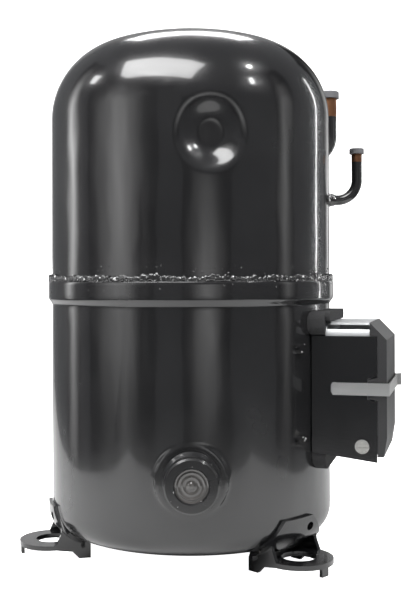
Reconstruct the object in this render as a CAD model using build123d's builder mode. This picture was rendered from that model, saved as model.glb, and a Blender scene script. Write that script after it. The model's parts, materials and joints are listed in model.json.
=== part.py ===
from build123d import *
import math
import os

os.makedirs("parts", exist_ok=True)

# ---- shell ----
SHELL_R = 127.0
WALL = 3.2
BASE_Z = 9.0
CROWN_Z = 459.0
CROWN_R = 260.0
KNUCKLE_R = 70.0
BOTTOM_KNUCKLE = 22.0
RIM_R = 130.4
RAMP_LOW = 212.0
RAMP_HIGH = 218.0
RIM_TOP = 233.0
LAP_LOW = 219.0
FIT = 0.1
INNER_R = SHELL_R - WALL

# ---- features on the shell ----
DIMPLE_ANGLE = -66.3
DIMPLE_Z = 352.0
DIMPLE_R = 31.0
DIMPLE_FLAT_R = 18.0
DIMPLE_DEPTH = 9.0
SIGHT_ANGLE = -74.0
SIGHT_Z = 74.0
SIGHT_PAD_R = 30.0
SIGHT_PAD_X = 127.6
TERM_Z = 142.0
TERM_R = 20.0
SUCTION_ANGLE = 48.0
SUCTION_Z = 360.0
SUCTION_R = 7.94
SUCTION_LEG = 166.0
DISCHARGE_ANGLE = 16.0
DISCHARGE_Z = 307.5
DISCHARGE_R = 4.76
DISCHARGE_LEG = 154.0

# ---- feet ----
FOOT_ANGLES = {"foot_right": -30.0, "foot_left": -150.0, "foot_rear": 90.0}
FOOT_HOLE_AT = 128.0
FOOT_HOLE_R = 14.5
FOOT_HALF = 29.0
FOOT_T = 4.0
FOOT_FLANGE = 8.0
FOOT_INNER = 98.0
FOOT_WALL = 3.4
TAB_HALF_ANGLE = 17.0

# ---- terminal box ----
BOX_HALF = 46.0
BOX_PLATE = 1.5
BOX_BACK_X = 119.5
BOX_FRONT_X = 174.0
BOX_TOP_Z = 186.4
FLOOR_Z = 88.0
TRAY_TOP_Z = 198.0
TRAY_T = 1.2
COVER_X = 182.0
STRAP_Z = 142.3
STRAP_W = 10.5
STRAP_T = 0.8

# ---- scrolls ----
BASE_CIRCLE = 3.6
WRAP_T = 5.2
ORBIT = 5.9
WRAP_START = 1.3 * math.pi
WRAP_END = 6.0 * math.pi
WRAP_LOW = 344.3
WRAP_HIGH = 375.7
PLATE_R = 80.0

# ---- motor and shaft ----
STATOR_R = 95.0
STATOR_BORE = 52.0
STATOR_LOW = 159.0
STATOR_HIGH = 254.0
SLOTS = 24
SHAFT_R = 17.0
TAIL_R = 12.5
LEG_AT = 86.5
LEGS = 4
LEG_START = 45
HUB_R = 42.0
HUB_LOW = 272.0
FRAME_LOW = 316.0
SLOT_AT = 65.0
END_TURN = 24.0
END_TURN_R = 77.0
END_TURN_BORE = 56.0
ROTOR_LOW = 162.0
ROTOR_HIGH = 251.0
END_RING = 10.0
END_RING_R = 49.0
END_RING_BORE = 30.0
BRACKET_LOW = 96.0
BRACKET_HIGH = 134.0


def radial_plane(angle, radius, height):
    c = math.cos(math.radians(angle))
    s = math.sin(math.radians(angle))
    return Plane(origin=(radius * c, radius * s, height), x_dir=(-s, c, 0), z_dir=(c, s, 0))


def side_plane(angle, height=0.0):
    c = math.cos(math.radians(angle))
    s = math.sin(math.radians(angle))
    return Plane(origin=(0, 0, height), x_dir=(c, s, 0), z_dir=(s, -c, 0))


def radial_axis(angle, height):
    c = math.cos(math.radians(angle))
    s = math.sin(math.radians(angle))
    return Axis((0, 0, height), (c, s, 0))


def save(solid, label):
    solid.label = label
    export_step(solid, "parts/" + label + ".step")


def radial_disc(angle, height, outer, inner, low, high):
    # a disc or ring whose axis points straight out of the shell
    with BuildPart() as disc:
        with BuildSketch(radial_plane(angle, low, height)):
            Circle(outer)
            if inner:
                Circle(inner, mode=Mode.SUBTRACT)
        extrude(amount=high - low)
    return disc.part


def upright_ring(outer, inner, low, high, x=0.0, y=0.0):
    with BuildPart() as ring:
        with BuildSketch(Plane.XY.offset(low)):
            with Locations((x, y)):
                Circle(outer)
                if inner:
                    Circle(inner, mode=Mode.SUBTRACT)
        extrude(amount=high - low)
    return ring.part


def dish_points(radius, knuckle, crown, top):
    # tangent points of a dished end: wall, knuckle middle, knuckle end, crown middle, crown top
    turn = math.asin((radius - knuckle) / (crown - knuckle))
    wall_z = top - crown + (crown - knuckle) * math.cos(turn)
    middle = (turn + math.pi / 2) / 2
    return [
        (radius, wall_z),
        (radius - knuckle + knuckle * math.sin(middle), wall_z + knuckle * math.cos(middle)),
        (crown * math.sin(turn), top - crown + crown * math.cos(turn)),
        (crown * math.sin(turn / 2), top - crown + crown * math.cos(turn / 2)),
        (0, top),
    ]


# ======== shell ========
outer = dish_points(SHELL_R, KNUCKLE_R, CROWN_R, CROWN_Z)
inner = dish_points(INNER_R, KNUCKLE_R - WALL, CROWN_R - WALL, CROWN_Z - WALL)
DIMPLE_PLANE = side_plane(DIMPLE_ANGLE, DIMPLE_Z)
DIMPLE_AXIS = radial_axis(DIMPLE_ANGLE, DIMPLE_Z)

with BuildPart() as upper_shell:
    with BuildSketch(Plane.XZ):
        with BuildLine():
            Line((SHELL_R, LAP_LOW), outer[0])
            ThreePointArc(outer[0], outer[1], outer[2])
            ThreePointArc(outer[2], outer[3], outer[4])
            Line(outer[4], inner[4])
            ThreePointArc(inner[4], inner[3], inner[2])
            ThreePointArc(inner[2], inner[1], inner[0])
            Line(inner[0], (INNER_R, LAP_LOW))
            Line((INNER_R, LAP_LOW), (SHELL_R, LAP_LOW))
        make_face()
    revolve(axis=Axis.Z)
    # metal pushed inwards behind the dimple
    with BuildSketch(DIMPLE_PLANE):
        with BuildLine():
            Polyline(
                (SHELL_R - DIMPLE_DEPTH - WALL, 0),
                (SHELL_R - DIMPLE_DEPTH - WALL, DIMPLE_FLAT_R + 2),
                (SHELL_R - 6, DIMPLE_R + 1),
                (SHELL_R - 6, 0),
                close=True,
            )
        make_face()
    revolve(axis=DIMPLE_AXIS)
    with BuildSketch(DIMPLE_PLANE):
        with BuildLine():
            Line((SHELL_R - DIMPLE_DEPTH, 0), (SHELL_R - DIMPLE_DEPTH, DIMPLE_FLAT_R))
            Spline(
                (SHELL_R - DIMPLE_DEPTH, DIMPLE_FLAT_R),
                (SHELL_R - DIMPLE_DEPTH / 2, DIMPLE_FLAT_R + 6.5),
                (SHELL_R + 1.0, DIMPLE_R + 3),
                tangents=[(0, 1), (0.35, 1)],
            )
            Line((SHELL_R + 1.0, DIMPLE_R + 3), (SHELL_R + 1.0, 0))
            Line((SHELL_R + 1.0, 0), (SHELL_R - DIMPLE_DEPTH, 0))
        make_face()
    revolve(axis=DIMPLE_AXIS, mode=Mode.SUBTRACT)
    with BuildSketch(radial_plane(SUCTION_ANGLE, 110, SUCTION_Z)):
        Circle(SUCTION_R + FIT)
    extrude(amount=30, mode=Mode.SUBTRACT)
    with BuildSketch(radial_plane(DISCHARGE_ANGLE, 110, DISCHARGE_Z)):
        Circle(DISCHARGE_R + FIT)
    extrude(amount=30, mode=Mode.SUBTRACT)
save(upper_shell.part, "upper_shell")

KNEE_X = SHELL_R - BOTTOM_KNUCKLE
KNEE_Z = BASE_Z + BOTTOM_KNUCKLE
DIAG = math.sqrt(0.5)
with BuildPart() as lower_shell:
    with BuildSketch(Plane.XZ):
        with BuildLine():
            Line((0, BASE_Z), (KNEE_X, BASE_Z))
            ThreePointArc(
                (KNEE_X, BASE_Z),
                (KNEE_X + BOTTOM_KNUCKLE * DIAG, KNEE_Z - BOTTOM_KNUCKLE * DIAG),
                (SHELL_R, KNEE_Z),
            )
            Polyline(
                (SHELL_R, KNEE_Z),
                (SHELL_R, RAMP_LOW),
                (RIM_R, RAMP_HIGH),
                (RIM_R, RIM_TOP),
                (SHELL_R + FIT, RIM_TOP),
                (SHELL_R + FIT, RAMP_HIGH + 0.6),
                (INNER_R, RAMP_LOW + 0.6),
                (INNER_R, KNEE_Z),
            )
            ThreePointArc(
                (INNER_R, KNEE_Z),
                (KNEE_X + (BOTTOM_KNUCKLE - WALL) * DIAG, KNEE_Z - (BOTTOM_KNUCKLE - WALL) * DIAG),
                (KNEE_X, BASE_Z + WALL),
            )
            Polyline((KNEE_X, BASE_Z + WALL), (0, BASE_Z + WALL), (0, BASE_Z))
        make_face()
    revolve(axis=Axis.Z)
    # formed flat pad for the sight glass
    with BuildSketch(radial_plane(SIGHT_ANGLE, INNER_R - 3, SIGHT_Z)):
        Circle(SIGHT_PAD_R)
    extrude(amount=SIGHT_PAD_X - INNER_R + 3)
    with BuildSketch(radial_plane(SIGHT_ANGLE, 100, SIGHT_Z)):
        Circle(SIGHT_PAD_R - WALL)
    extrude(amount=SIGHT_PAD_X - WALL - 100, mode=Mode.SUBTRACT)
    with BuildSketch(radial_plane(SIGHT_ANGLE, 100, SIGHT_Z)):
        Circle(16)
    extrude(amount=40, mode=Mode.SUBTRACT)
    with BuildSketch(radial_plane(0, 100, TERM_Z)):
        Circle(TERM_R + FIT)
    extrude(amount=40, mode=Mode.SUBTRACT)
save(lower_shell.part, "lower_shell")

with BuildPart() as belly_weld:
    with BuildSketch(Plane.XZ):
        with BuildLine():
            Polyline(
                (SHELL_R + FIT, RIM_TOP),
                (RIM_R - 0.2, RIM_TOP),
                (RIM_R - 0.3, RIM_TOP + 1.6),
                (RIM_R - 1.2, RIM_TOP + 3.0),
                (SHELL_R + FIT, RIM_TOP + 4.4),
                close=True,
            )
        make_face()
    revolve(axis=Axis.Z)
save(belly_weld.part, "belly_weld")

# ======== oil sight glass ========
SPUD_OUT = 142.0
RING_OUT = 150.0
with BuildPart() as sight_spud:
    with BuildSketch(side_plane(SIGHT_ANGLE, SIGHT_Z)):
        with BuildLine():
            groove = [(SIGHT_PAD_X, 14), (SIGHT_PAD_X, 23.5), (SIGHT_PAD_X + 3, 21)]
            for turn in range(4):
                at = SIGHT_PAD_X + 3.6 + turn * 2.2
                groove += [(at, 21), (at + 0.5, 19.8), (at + 1.1, 19.8), (at + 1.6, 21)]
            groove += [(SPUD_OUT, 21), (SPUD_OUT, 14)]
            Polyline(*groove, close=True)
        make_face()
    revolve(axis=radial_axis(SIGHT_ANGLE, SIGHT_Z))
save(sight_spud.part, "sight_spud")

save(radial_disc(SIGHT_ANGLE, SIGHT_Z, 15.8, 12.5, SPUD_OUT, SPUD_OUT + 1.5), "sight_gasket")
save(radial_disc(SIGHT_ANGLE, SIGHT_Z, 15.8, 0, SPUD_OUT + 1.5, RING_OUT - 2), "sight_lens")

with BuildPart() as sight_ring:
    with BuildSketch(side_plane(SIGHT_ANGLE, SIGHT_Z)):
        with BuildLine():
            Polyline(
                (SPUD_OUT, 16),
                (SPUD_OUT, 22),
                (RING_OUT - 1.5, 22),
                (RING_OUT, 20.5),
                (RING_OUT, 14.5),
                (RING_OUT - 2, 13.25),
                (RING_OUT - 2, 16),
                close=True,
            )
        make_face()
    revolve(axis=radial_axis(SIGHT_ANGLE, SIGHT_Z))
save(sight_ring.part, "sight_ring")

# ======== feet ========
TAB_GAP = 0.2
TAB_T = 3.4
TAB_IN = BOTTOM_KNUCKLE + TAB_GAP
TAB_OUT = TAB_IN + TAB_T
TAB_TOP = 36.0
for foot_name, foot_angle in FOOT_ANGLES.items():
    ca = math.cos(math.radians(foot_angle))
    sa = math.sin(math.radians(foot_angle))
    low = math.radians(78)
    mid = math.radians(39)
    foot_plane = Plane(origin=(0, 0, 0), x_dir=(ca, sa, 0), z_dir=(0, 0, 1))
    straight = FOOT_HOLE_AT - FOOT_INNER
    with BuildPart() as foot:
        with BuildSketch(foot_plane):
            with Locations((FOOT_HOLE_AT, 0)):
                Circle(FOOT_HALF)
            with Locations((FOOT_HOLE_AT - straight / 2, 0)):
                Rectangle(straight, 2 * FOOT_HALF)
        extrude(amount=FOOT_T)
        # spur bent down at the tip
        with BuildSketch(foot_plane):
            with Locations((FOOT_HOLE_AT + FOOT_HALF - 2.4, 0)):
                Rectangle(3, 8)
        extrude(amount=-FOOT_FLANGE + 1)
        # weld tab wrapping the bottom corner of the shell
        with BuildSketch(side_plane(foot_angle - TAB_HALF_ANGLE)):
            with BuildLine():
                Line((KNEE_X + TAB_IN, KNEE_Z), (KNEE_X + TAB_IN, TAB_TOP))
                Line((KNEE_X + TAB_IN, TAB_TOP), (KNEE_X + TAB_OUT, TAB_TOP))
                Line((KNEE_X + TAB_OUT, TAB_TOP), (KNEE_X + TAB_OUT, KNEE_Z))
                ThreePointArc(
                    (KNEE_X + TAB_OUT, KNEE_Z),
                    (KNEE_X + TAB_OUT * math.cos(mid), KNEE_Z - TAB_OUT * math.sin(mid)),
                    (KNEE_X + TAB_OUT * math.cos(low), KNEE_Z - TAB_OUT * math.sin(low)),
                )
                Polyline(
                    (KNEE_X + TAB_OUT * math.cos(low), KNEE_Z - TAB_OUT * math.sin(low)),
                    (KNEE_X + TAB_OUT * math.cos(low), FOOT_T / 2),
                    (KNEE_X + TAB_IN * math.cos(low) - 1.5, FOOT_T / 2),
                    (KNEE_X + TAB_IN * math.cos(low) - 1.5, BASE_Z - 0.4),
                    (KNEE_X + TAB_IN * math.cos(low), KNEE_Z - TAB_IN * math.sin(low)),
                )
                ThreePointArc(
                    (KNEE_X + TAB_IN * math.cos(low), KNEE_Z - TAB_IN * math.sin(low)),
                    (KNEE_X + TAB_IN * math.cos(mid), KNEE_Z - TAB_IN * math.sin(mid)),
                    (KNEE_X + TAB_IN, KNEE_Z),
                )
            make_face()
        revolve(axis=Axis.Z, revolution_arc=2 * TAB_HALF_ANGLE)
        # side webs from below the plate up to the shell's corner
        for side in (-1, 1):
            inner_y = side * (FOOT_HALF - FOOT_WALL / 2) - FOOT_WALL / 2
            web_origin = (-sa * inner_y, ca * inner_y, 0)
            with BuildSketch(Plane(origin=web_origin, x_dir=(ca, sa, 0), z_dir=(sa, -ca, 0))):
                with BuildLine():
                    Polyline(
                        (FOOT_INNER, 2),
                        (FOOT_INNER, -FOOT_FLANGE),
                        (FOOT_INNER + 10, -FOOT_FLANGE),
                        (FOOT_INNER + 16, -2),
                        (FOOT_HOLE_AT, 0),
                        (FOOT_HOLE_AT, FOOT_T),
                        (FOOT_HOLE_AT - 4, 13),
                        (FOOT_HOLE_AT - 6, 24),
                        (FOOT_INNER + 6, 24),
                        close=True,
                    )
                make_face()
            extrude(amount=-FOOT_WALL)
        # slanted ends of the tab
        with BuildSketch(radial_plane(foot_angle, 112, 0)):
            for side in (-1, 1):
                with BuildLine():
                    Polyline(
                        (side * 16, TAB_TOP + 2),
                        (side * 60, TAB_TOP + 2),
                        (side * 60, 14),
                        (side * 38, 14),
                        close=True,
                    )
                make_face()
        extrude(amount=30, mode=Mode.SUBTRACT)
        # room for the shell's rounded corner
        with BuildSketch(Plane.XZ):
            with BuildLine():
                Line((0, BASE_Z - TAB_GAP), (KNEE_X, BASE_Z - TAB_GAP))
                ThreePointArc(
                    (KNEE_X, BASE_Z - TAB_GAP),
                    (KNEE_X + TAB_IN * DIAG, KNEE_Z - TAB_IN * DIAG),
                    (KNEE_X + TAB_IN, KNEE_Z),
                )
                Polyline(
                    (KNEE_X + TAB_IN, KNEE_Z),
                    (KNEE_X + TAB_IN, TAB_TOP + 20),
                    (0, TAB_TOP + 20),
                    (0, BASE_Z - TAB_GAP),
                )
            make_face()
        revolve(axis=Axis.Z, mode=Mode.SUBTRACT)
        with BuildSketch(Plane.XY.offset(-FOOT_FLANGE)):
            with Locations((FOOT_HOLE_AT * ca, FOOT_HOLE_AT * sa)):
                Circle(FOOT_HOLE_R)
        extrude(amount=FOOT_FLANGE + FOOT_T + 6, mode=Mode.SUBTRACT)
        # pierced oval in the weld tab
        with BuildSketch(radial_plane(foot_angle + 6, 122, 27)):
            Ellipse(4.5, 3.5)
        extrude(amount=14, mode=Mode.SUBTRACT)
    save(foot.part, foot_name)

# ======== pipe stubs ========


def stub(angle, height, radius, wall, start, leg, bend, top):
    c = math.cos(math.radians(angle))
    s = math.sin(math.radians(angle))
    with BuildPart() as tube:
        with BuildLine():
            FilletPolyline(
                (start * c, start * s, height),
                (leg * c, leg * s, height),
                (leg * c, leg * s, top),
                radius=bend,
            )
        with BuildSketch(radial_plane(angle, start, height)):
            Circle(radius)
            Circle(radius - wall, mode=Mode.SUBTRACT)
        sweep()
    return tube.part


def copper_end(angle, radius, wall, leg, low, high, spigot):
    c = leg * math.cos(math.radians(angle))
    s = leg * math.sin(math.radians(angle))
    with BuildPart() as end:
        with BuildSketch(Plane.XY.offset(low)):
            with Locations((c, s)):
                Circle(radius)
                Circle(radius - 2 * wall - FIT, mode=Mode.SUBTRACT)
        extrude(amount=high - low)
        with BuildSketch(Plane.XY.offset(low)):
            with Locations((c, s)):
                Circle(radius - wall - FIT)
                Circle(radius - 2 * wall - FIT, mode=Mode.SUBTRACT)
        extrude(amount=-spigot)
    return end.part


def plug(angle, leg, head_r, stem_r, low, high, stem):
    c = leg * math.cos(math.radians(angle))
    s = leg * math.sin(math.radians(angle))
    with BuildPart() as cap:
        with BuildSketch(Plane.XY.offset(low)):
            with Locations((c, s)):
                Circle(head_r)
        extrude(amount=high - low)
        fillet(cap.edges().group_by(Axis.Z)[-1], 1.2)
        with BuildSketch(Plane.XY.offset(low)):
            with Locations((c, s)):
                Circle(stem_r)
        extrude(amount=-stem)
    return cap.part


def weld_collar(angle, height, radius, tube_r, reach):
    with BuildPart() as collar:
        with BuildSketch(side_plane(angle, height)):
            with BuildLine():
                Polyline(
                    (SHELL_R - 6, tube_r + FIT),
                    (SHELL_R - 6, radius),
                    (SHELL_R + reach * 0.4, radius),
                    (SHELL_R + reach, tube_r + 1),
                    (SHELL_R + reach, tube_r + FIT),
                    close=True,
                )
            make_face()
        revolve(axis=radial_axis(angle, height))
        with BuildSketch(Plane.XY.offset(height - 40)):
            Circle(SHELL_R + FIT)
        extrude(amount=80, mode=Mode.SUBTRACT)
    return collar.part


TUBE_WALL = 1.0
SUCTION_COPPER = 399.0
SUCTION_TOP = 417.5
DISCHARGE_COPPER = 342.6
DISCHARGE_TOP = 350.0
save(
    stub(SUCTION_ANGLE, SUCTION_Z, SUCTION_R, TUBE_WALL, 91, SUCTION_LEG, 20, SUCTION_COPPER),
    "suction_stub",
)
save(
    stub(DISCHARGE_ANGLE, DISCHARGE_Z, DISCHARGE_R, TUBE_WALL, 119, DISCHARGE_LEG, 18, DISCHARGE_COPPER),
    "discharge_stub",
)
save(
    copper_end(SUCTION_ANGLE, SUCTION_R, TUBE_WALL, SUCTION_LEG, SUCTION_COPPER, SUCTION_TOP, 8),
    "suction_copper_end",
)
save(
    copper_end(DISCHARGE_ANGLE, DISCHARGE_R, TUBE_WALL, DISCHARGE_LEG, DISCHARGE_COPPER, DISCHARGE_TOP, 6),
    "discharge_copper_end",
)
save(plug(SUCTION_ANGLE, SUCTION_LEG, 10.4, 5.5, SUCTION_TOP + 0.1, 424.6, 12), "suction_plug")
save(plug(DISCHARGE_ANGLE, DISCHARGE_LEG, 6.7, 2.3, DISCHARGE_TOP + 0.1, 355.2, 8), "discharge_plug")
save(weld_collar(SUCTION_ANGLE, SUCTION_Z, 11.5, SUCTION_R, 6), "suction_weld")
save(weld_collar(DISCHARGE_ANGLE, DISCHARGE_Z, 6.6, DISCHARGE_R, 8), "discharge_weld")

# ======== terminal ========
PIN_R = 1.6
PIN_SPOTS = [(9.0 * math.cos(math.radians(a)), 9.0 * math.sin(math.radians(a))) for a in (90, 210, 330)]


def pin_set(outer_r, inner_r, low, high):
    with BuildPart() as pieces:
        with BuildSketch(radial_plane(0, low, TERM_Z)):
            with Locations(*PIN_SPOTS):
                Circle(outer_r)
                if inner_r:
                    Circle(inner_r, mode=Mode.SUBTRACT)
        extrude(amount=high - low)
    return pieces.part


with BuildPart() as terminal_cup:
    with BuildSketch(radial_plane(0, 117.5, TERM_Z)):
        Circle(TERM_R)
    extrude(amount=12.5)
    with BuildSketch(radial_plane(0, 120.5, TERM_Z)):
        Circle(TERM_R - 2.2)
    extrude(amount=12, mode=Mode.SUBTRACT)
    with BuildSketch(radial_plane(0, 110, TERM_Z)):
        with Locations(*PIN_SPOTS):
            Circle(3.7)
    extrude(amount=20, mode=Mode.SUBTRACT)
save(terminal_cup.part, "terminal_cup")
save(pin_set(3.7, PIN_R, 116.8, 121.6), "terminal_glass")
save(pin_set(PIN_R, 0, 103, 142), "terminal_pins")

with BuildPart() as terminal_block:
    with BuildSketch(radial_plane(0, 131, TERM_Z)):
        RectangleRounded(34, 32, 4)
        with Locations(*PIN_SPOTS):
            Circle(PIN_R + FIT, mode=Mode.SUBTRACT)
    extrude(amount=8)
save(terminal_block.part, "terminal_block")

with BuildPart() as lead_connector:
    with BuildSketch(radial_plane(0, 100, TERM_Z)):
        RectangleRounded(30, 28, 4)
        with Locations(*PIN_SPOTS):
            Circle(PIN_R + FIT, mode=Mode.SUBTRACT)
    extrude(amount=12)
save(lead_connector.part, "lead_connector")

LEAD_R = 1.8
with BuildPart() as motor_leads:
    for lead_y in (-8.0, 0.0, 8.0):
        with BuildLine():
            FilletPolyline(
                (80, lead_y, 150),
                (91, lead_y, 150),
                (91, lead_y, TERM_Z),
                (99.8, lead_y, TERM_Z),
                radius=3.5,
            )
        with BuildSketch(Plane(origin=(80, lead_y, 150), x_dir=(0, 1, 0), z_dir=(1, 0, 0))):
            Circle(LEAD_R)
        sweep()
save(motor_leads.part, "motor_leads")

# ======== terminal box ========
EAR_HALF = 8.5
SCREW_X = 161.8
SCREW_Z = 94.7
ENTRY_X = 152.0
ENTRY_R = 11.0
SLOT_X = 139.0
with BuildPart() as box_body:
    with BuildSketch(Plane.XZ.offset(-BOX_HALF)):
        with BuildLine():
            Polyline(
                (BOX_BACK_X, FLOOR_Z),
                (BOX_FRONT_X, 81.2),
                (BOX_FRONT_X, STRAP_Z - EAR_HALF - 2),
                (BOX_FRONT_X - 8, STRAP_Z - EAR_HALF),
                (BOX_FRONT_X - 8, STRAP_Z + EAR_HALF),
                (BOX_FRONT_X, STRAP_Z + EAR_HALF + 2),
                (BOX_FRONT_X, BOX_TOP_Z),
                (BOX_BACK_X, BOX_TOP_Z),
                close=True,
            )
        make_face()
    extrude(amount=2 * BOX_HALF)
    with BuildSketch(Plane.XZ.offset(-BOX_HALF + BOX_PLATE)):
        with Locations((150, 150)):
            Rectangle(80, 200)
    extrude(amount=2 * (BOX_HALF - BOX_PLATE), mode=Mode.SUBTRACT)
    # floor joining the side plates, with the cable entry
    with BuildSketch(Plane.XY.offset(FLOOR_Z)):
        with Locations((152.5, 0)):
            Rectangle(43, 2 * BOX_HALF - 1)
        with Locations((ENTRY_X, 0)):
            Circle(ENTRY_R, mode=Mode.SUBTRACT)
    extrude(amount=BOX_PLATE)
    # strap slots and ground-screw hole
    with BuildSketch(Plane.XZ.offset(-BOX_HALF - 1)):
        with Locations((SLOT_X, STRAP_Z)):
            SlotOverall(11, 7, rotation=90)
    extrude(amount=2 * BOX_HALF + 2, mode=Mode.SUBTRACT)
    with BuildSketch(Plane.XZ.offset(BOX_HALF - 4)):
        with Locations((SCREW_X, SCREW_Z)):
            Circle(3.1)
    extrude(amount=8, mode=Mode.SUBTRACT)
save(box_body.part, "box_body")

TRAY_HALF = BOX_HALF - BOX_PLATE - 0.2
TRAY_BACK = 131.0
TRAY_FRONT = 167.6
with BuildPart() as box_tray:
    with BuildSketch(Plane.YZ.offset(TRAY_BACK)):
        with Locations((0, (FLOOR_Z + BOX_PLATE + TRAY_TOP_Z) / 2)):
            Rectangle(2 * TRAY_HALF, TRAY_TOP_Z - FLOOR_Z - BOX_PLATE)
    extrude(amount=TRAY_FRONT - TRAY_BACK)
    fillet(box_tray.edges().filter_by(Axis.X).group_by(Axis.Z)[-1], 11)
    with BuildSketch(Plane.YZ.offset(TRAY_BACK + TRAY_T)):
        with Locations((0, (FLOOR_Z + TRAY_TOP_Z - 40) / 2)):
            Rectangle(2 * (TRAY_HALF - TRAY_T), TRAY_TOP_Z - FLOOR_Z + 38 - 2 * TRAY_T)
    extrude(amount=60, mode=Mode.SUBTRACT)
    with BuildSketch(radial_plane(0, 120, TERM_Z)):
        RectangleRounded(38, 36, 4)
    extrude(amount=20, mode=Mode.SUBTRACT)
save(box_tray.part, "box_tray")

with BuildPart() as box_cover:
    with BuildSketch(Plane.XZ.offset(-BOX_HALF)):
        with BuildLine():
            Polyline(
                (168, TRAY_TOP_Z),
                (COVER_X, 183.5),
                (COVER_X, 102),
                (179.5, 86),
                (174.3, 86),
                (174.3, BOX_TOP_Z + 0.4),
                (168, BOX_TOP_Z + 0.4),
                close=True,
            )
        make_face()
    extrude(amount=2 * BOX_HALF)
    with BuildSketch(Plane.XZ.offset(-BOX_HALF + 2)):
        with BuildLine():
            Polyline(
                (167, TRAY_TOP_Z - 2.2),
                (168, TRAY_TOP_Z - 2.8),
                (COVER_X - 2, 182.7),
                (COVER_X - 2, 102.3),
                (177.8, 88),
                (167, 88),
                close=True,
            )
        make_face()
    extrude(amount=2 * BOX_HALF - 4, mode=Mode.SUBTRACT)
    for side in (-1, 1):
        with BuildSketch(Plane.XZ.offset(side * (BOX_HALF - BOX_PLATE / 2) - BOX_PLATE / 2)):
            with BuildLine():
                Polyline(
                    (175.5, STRAP_Z - EAR_HALF - 1),
                    (174.3, STRAP_Z - EAR_HALF - 1),
                    (BOX_FRONT_X - 7.6, STRAP_Z - EAR_HALF + 0.6),
                    (BOX_FRONT_X - 7.6, STRAP_Z + EAR_HALF - 0.6),
                    (174.3, STRAP_Z + EAR_HALF + 1),
                    (175.5, STRAP_Z + EAR_HALF + 1),
                    close=True,
                )
            make_face()
        extrude(amount=BOX_PLATE)
save(box_cover.part, "box_cover")

ARM_Y = BOX_HALF + 0.4
with BuildPart() as box_strap:
    with BuildSketch(Plane.XY.offset(STRAP_Z - STRAP_W / 2)):
        with BuildLine():
            Polyline(
                (SLOT_X - 2, -ARM_Y),
                (COVER_X + 1.5, -ARM_Y),
                (COVER_X + 1.5, ARM_Y - 2),
                (COVER_X + 4.5, ARM_Y + 1),
                (COVER_X + 4.5, ARM_Y + 6),
                (COVER_X + 5.3, ARM_Y + 6),
                (COVER_X + 5.3, ARM_Y + 0.6),
                (COVER_X + 2.3, ARM_Y - 2.4),
                (COVER_X + 2.3, -ARM_Y - STRAP_T),
                (SLOT_X - 2, -ARM_Y - STRAP_T),
                close=True,
            )
        make_face()
    extrude(amount=STRAP_W)
    with BuildSketch(Plane.XY.offset(STRAP_Z - STRAP_W / 2)):
        with BuildLine():
            Polyline(
                (SLOT_X - 2, ARM_Y),
                (COVER_X + 2.3, ARM_Y),
                (COVER_X + 4.6, ARM_Y + 2.0),
                (COVER_X + 4.6, ARM_Y + 2.8),
                (COVER_X + 2.0, ARM_Y + STRAP_T),
                (SLOT_X - 2, ARM_Y + STRAP_T),
                close=True,
            )
        make_face()
    extrude(amount=STRAP_W)
save(box_strap.part, "box_strap")

with BuildPart() as box_gasket:
    with BuildSketch(Plane.YZ.offset(105)):
        with Locations((0, 139.5)):
            RectangleRounded(2 * TRAY_HALF - 0.2, 135, 12)
        with Locations((0, 141)):
            Rectangle(74, 96, mode=Mode.SUBTRACT)
    extrude(amount=TRAY_BACK - 0.2 - 105)
    # the upper edge stands clear of the side plates and rolls over the tray
    with BuildSketch(Plane.YZ.offset(105)):
        with Locations((0, 197.2)):
            RectangleRounded(102, 20, 8)
    extrude(amount=TRAY_BACK - 0.2 - 105)
    with BuildSketch(Plane.YZ.offset(110)):
        with Locations((0, TRAY_TOP_Z + 4.8)):
            RectangleRounded(94, 8.8, 4)
    extrude(amount=25)
    with BuildSketch(Plane.XY.offset(50)):
        Circle(SHELL_R + 0.15)
    extrude(amount=170, mode=Mode.SUBTRACT)
save(box_gasket.part, "box_gasket")

with BuildPart() as ground_screw:
    with BuildSketch(Plane.XZ.offset(BOX_HALF)):
        with Locations((SCREW_X, SCREW_Z)):
            Circle(6)
    extrude(amount=3.2)
    with BuildSketch(Plane.XZ.offset(BOX_HALF + 1.8)):
        with Locations((SCREW_X, SCREW_Z)):
            Rectangle(9, 1.4)
            Rectangle(1.4, 9)
    extrude(amount=3, mode=Mode.SUBTRACT)
    with BuildSketch(Plane.XZ.offset(BOX_HALF)):
        with Locations((SCREW_X, SCREW_Z)):
            Circle(3)
    extrude(amount=-BOX_PLATE)
save(ground_screw.part, "ground_screw")

with BuildPart() as box_studs:
    for stud_angle in (-29, 29):
        for stud_z in (99.6, 176.5):
            with BuildSketch(radial_plane(stud_angle, SHELL_R + 0.1, stud_z)):
                Circle(4.5)
            extrude(amount=4.5)
save(box_studs.part, "box_studs")

# ======== scroll pair ========


def involute(turn, shift):
    return (
        BASE_CIRCLE * (math.cos(turn) + (turn - shift) * math.sin(turn)),
        BASE_CIRCLE * (math.sin(turn) - (turn - shift) * math.cos(turn)),
    )


def wrap_sketch(x, y, spin):
    half = WRAP_T / (2 * BASE_CIRCLE)
    steps = 48
    c = math.cos(spin)
    s = math.sin(spin)
    sides = []
    for shift in (half, -half):
        points = []
        for i in range(steps + 1):
            px, py = involute(WRAP_START + (WRAP_END - WRAP_START) * i / steps, shift)
            points.append((x + px * c - py * s, y + px * s + py * c))
        sides.append(points)
    return sides


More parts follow.
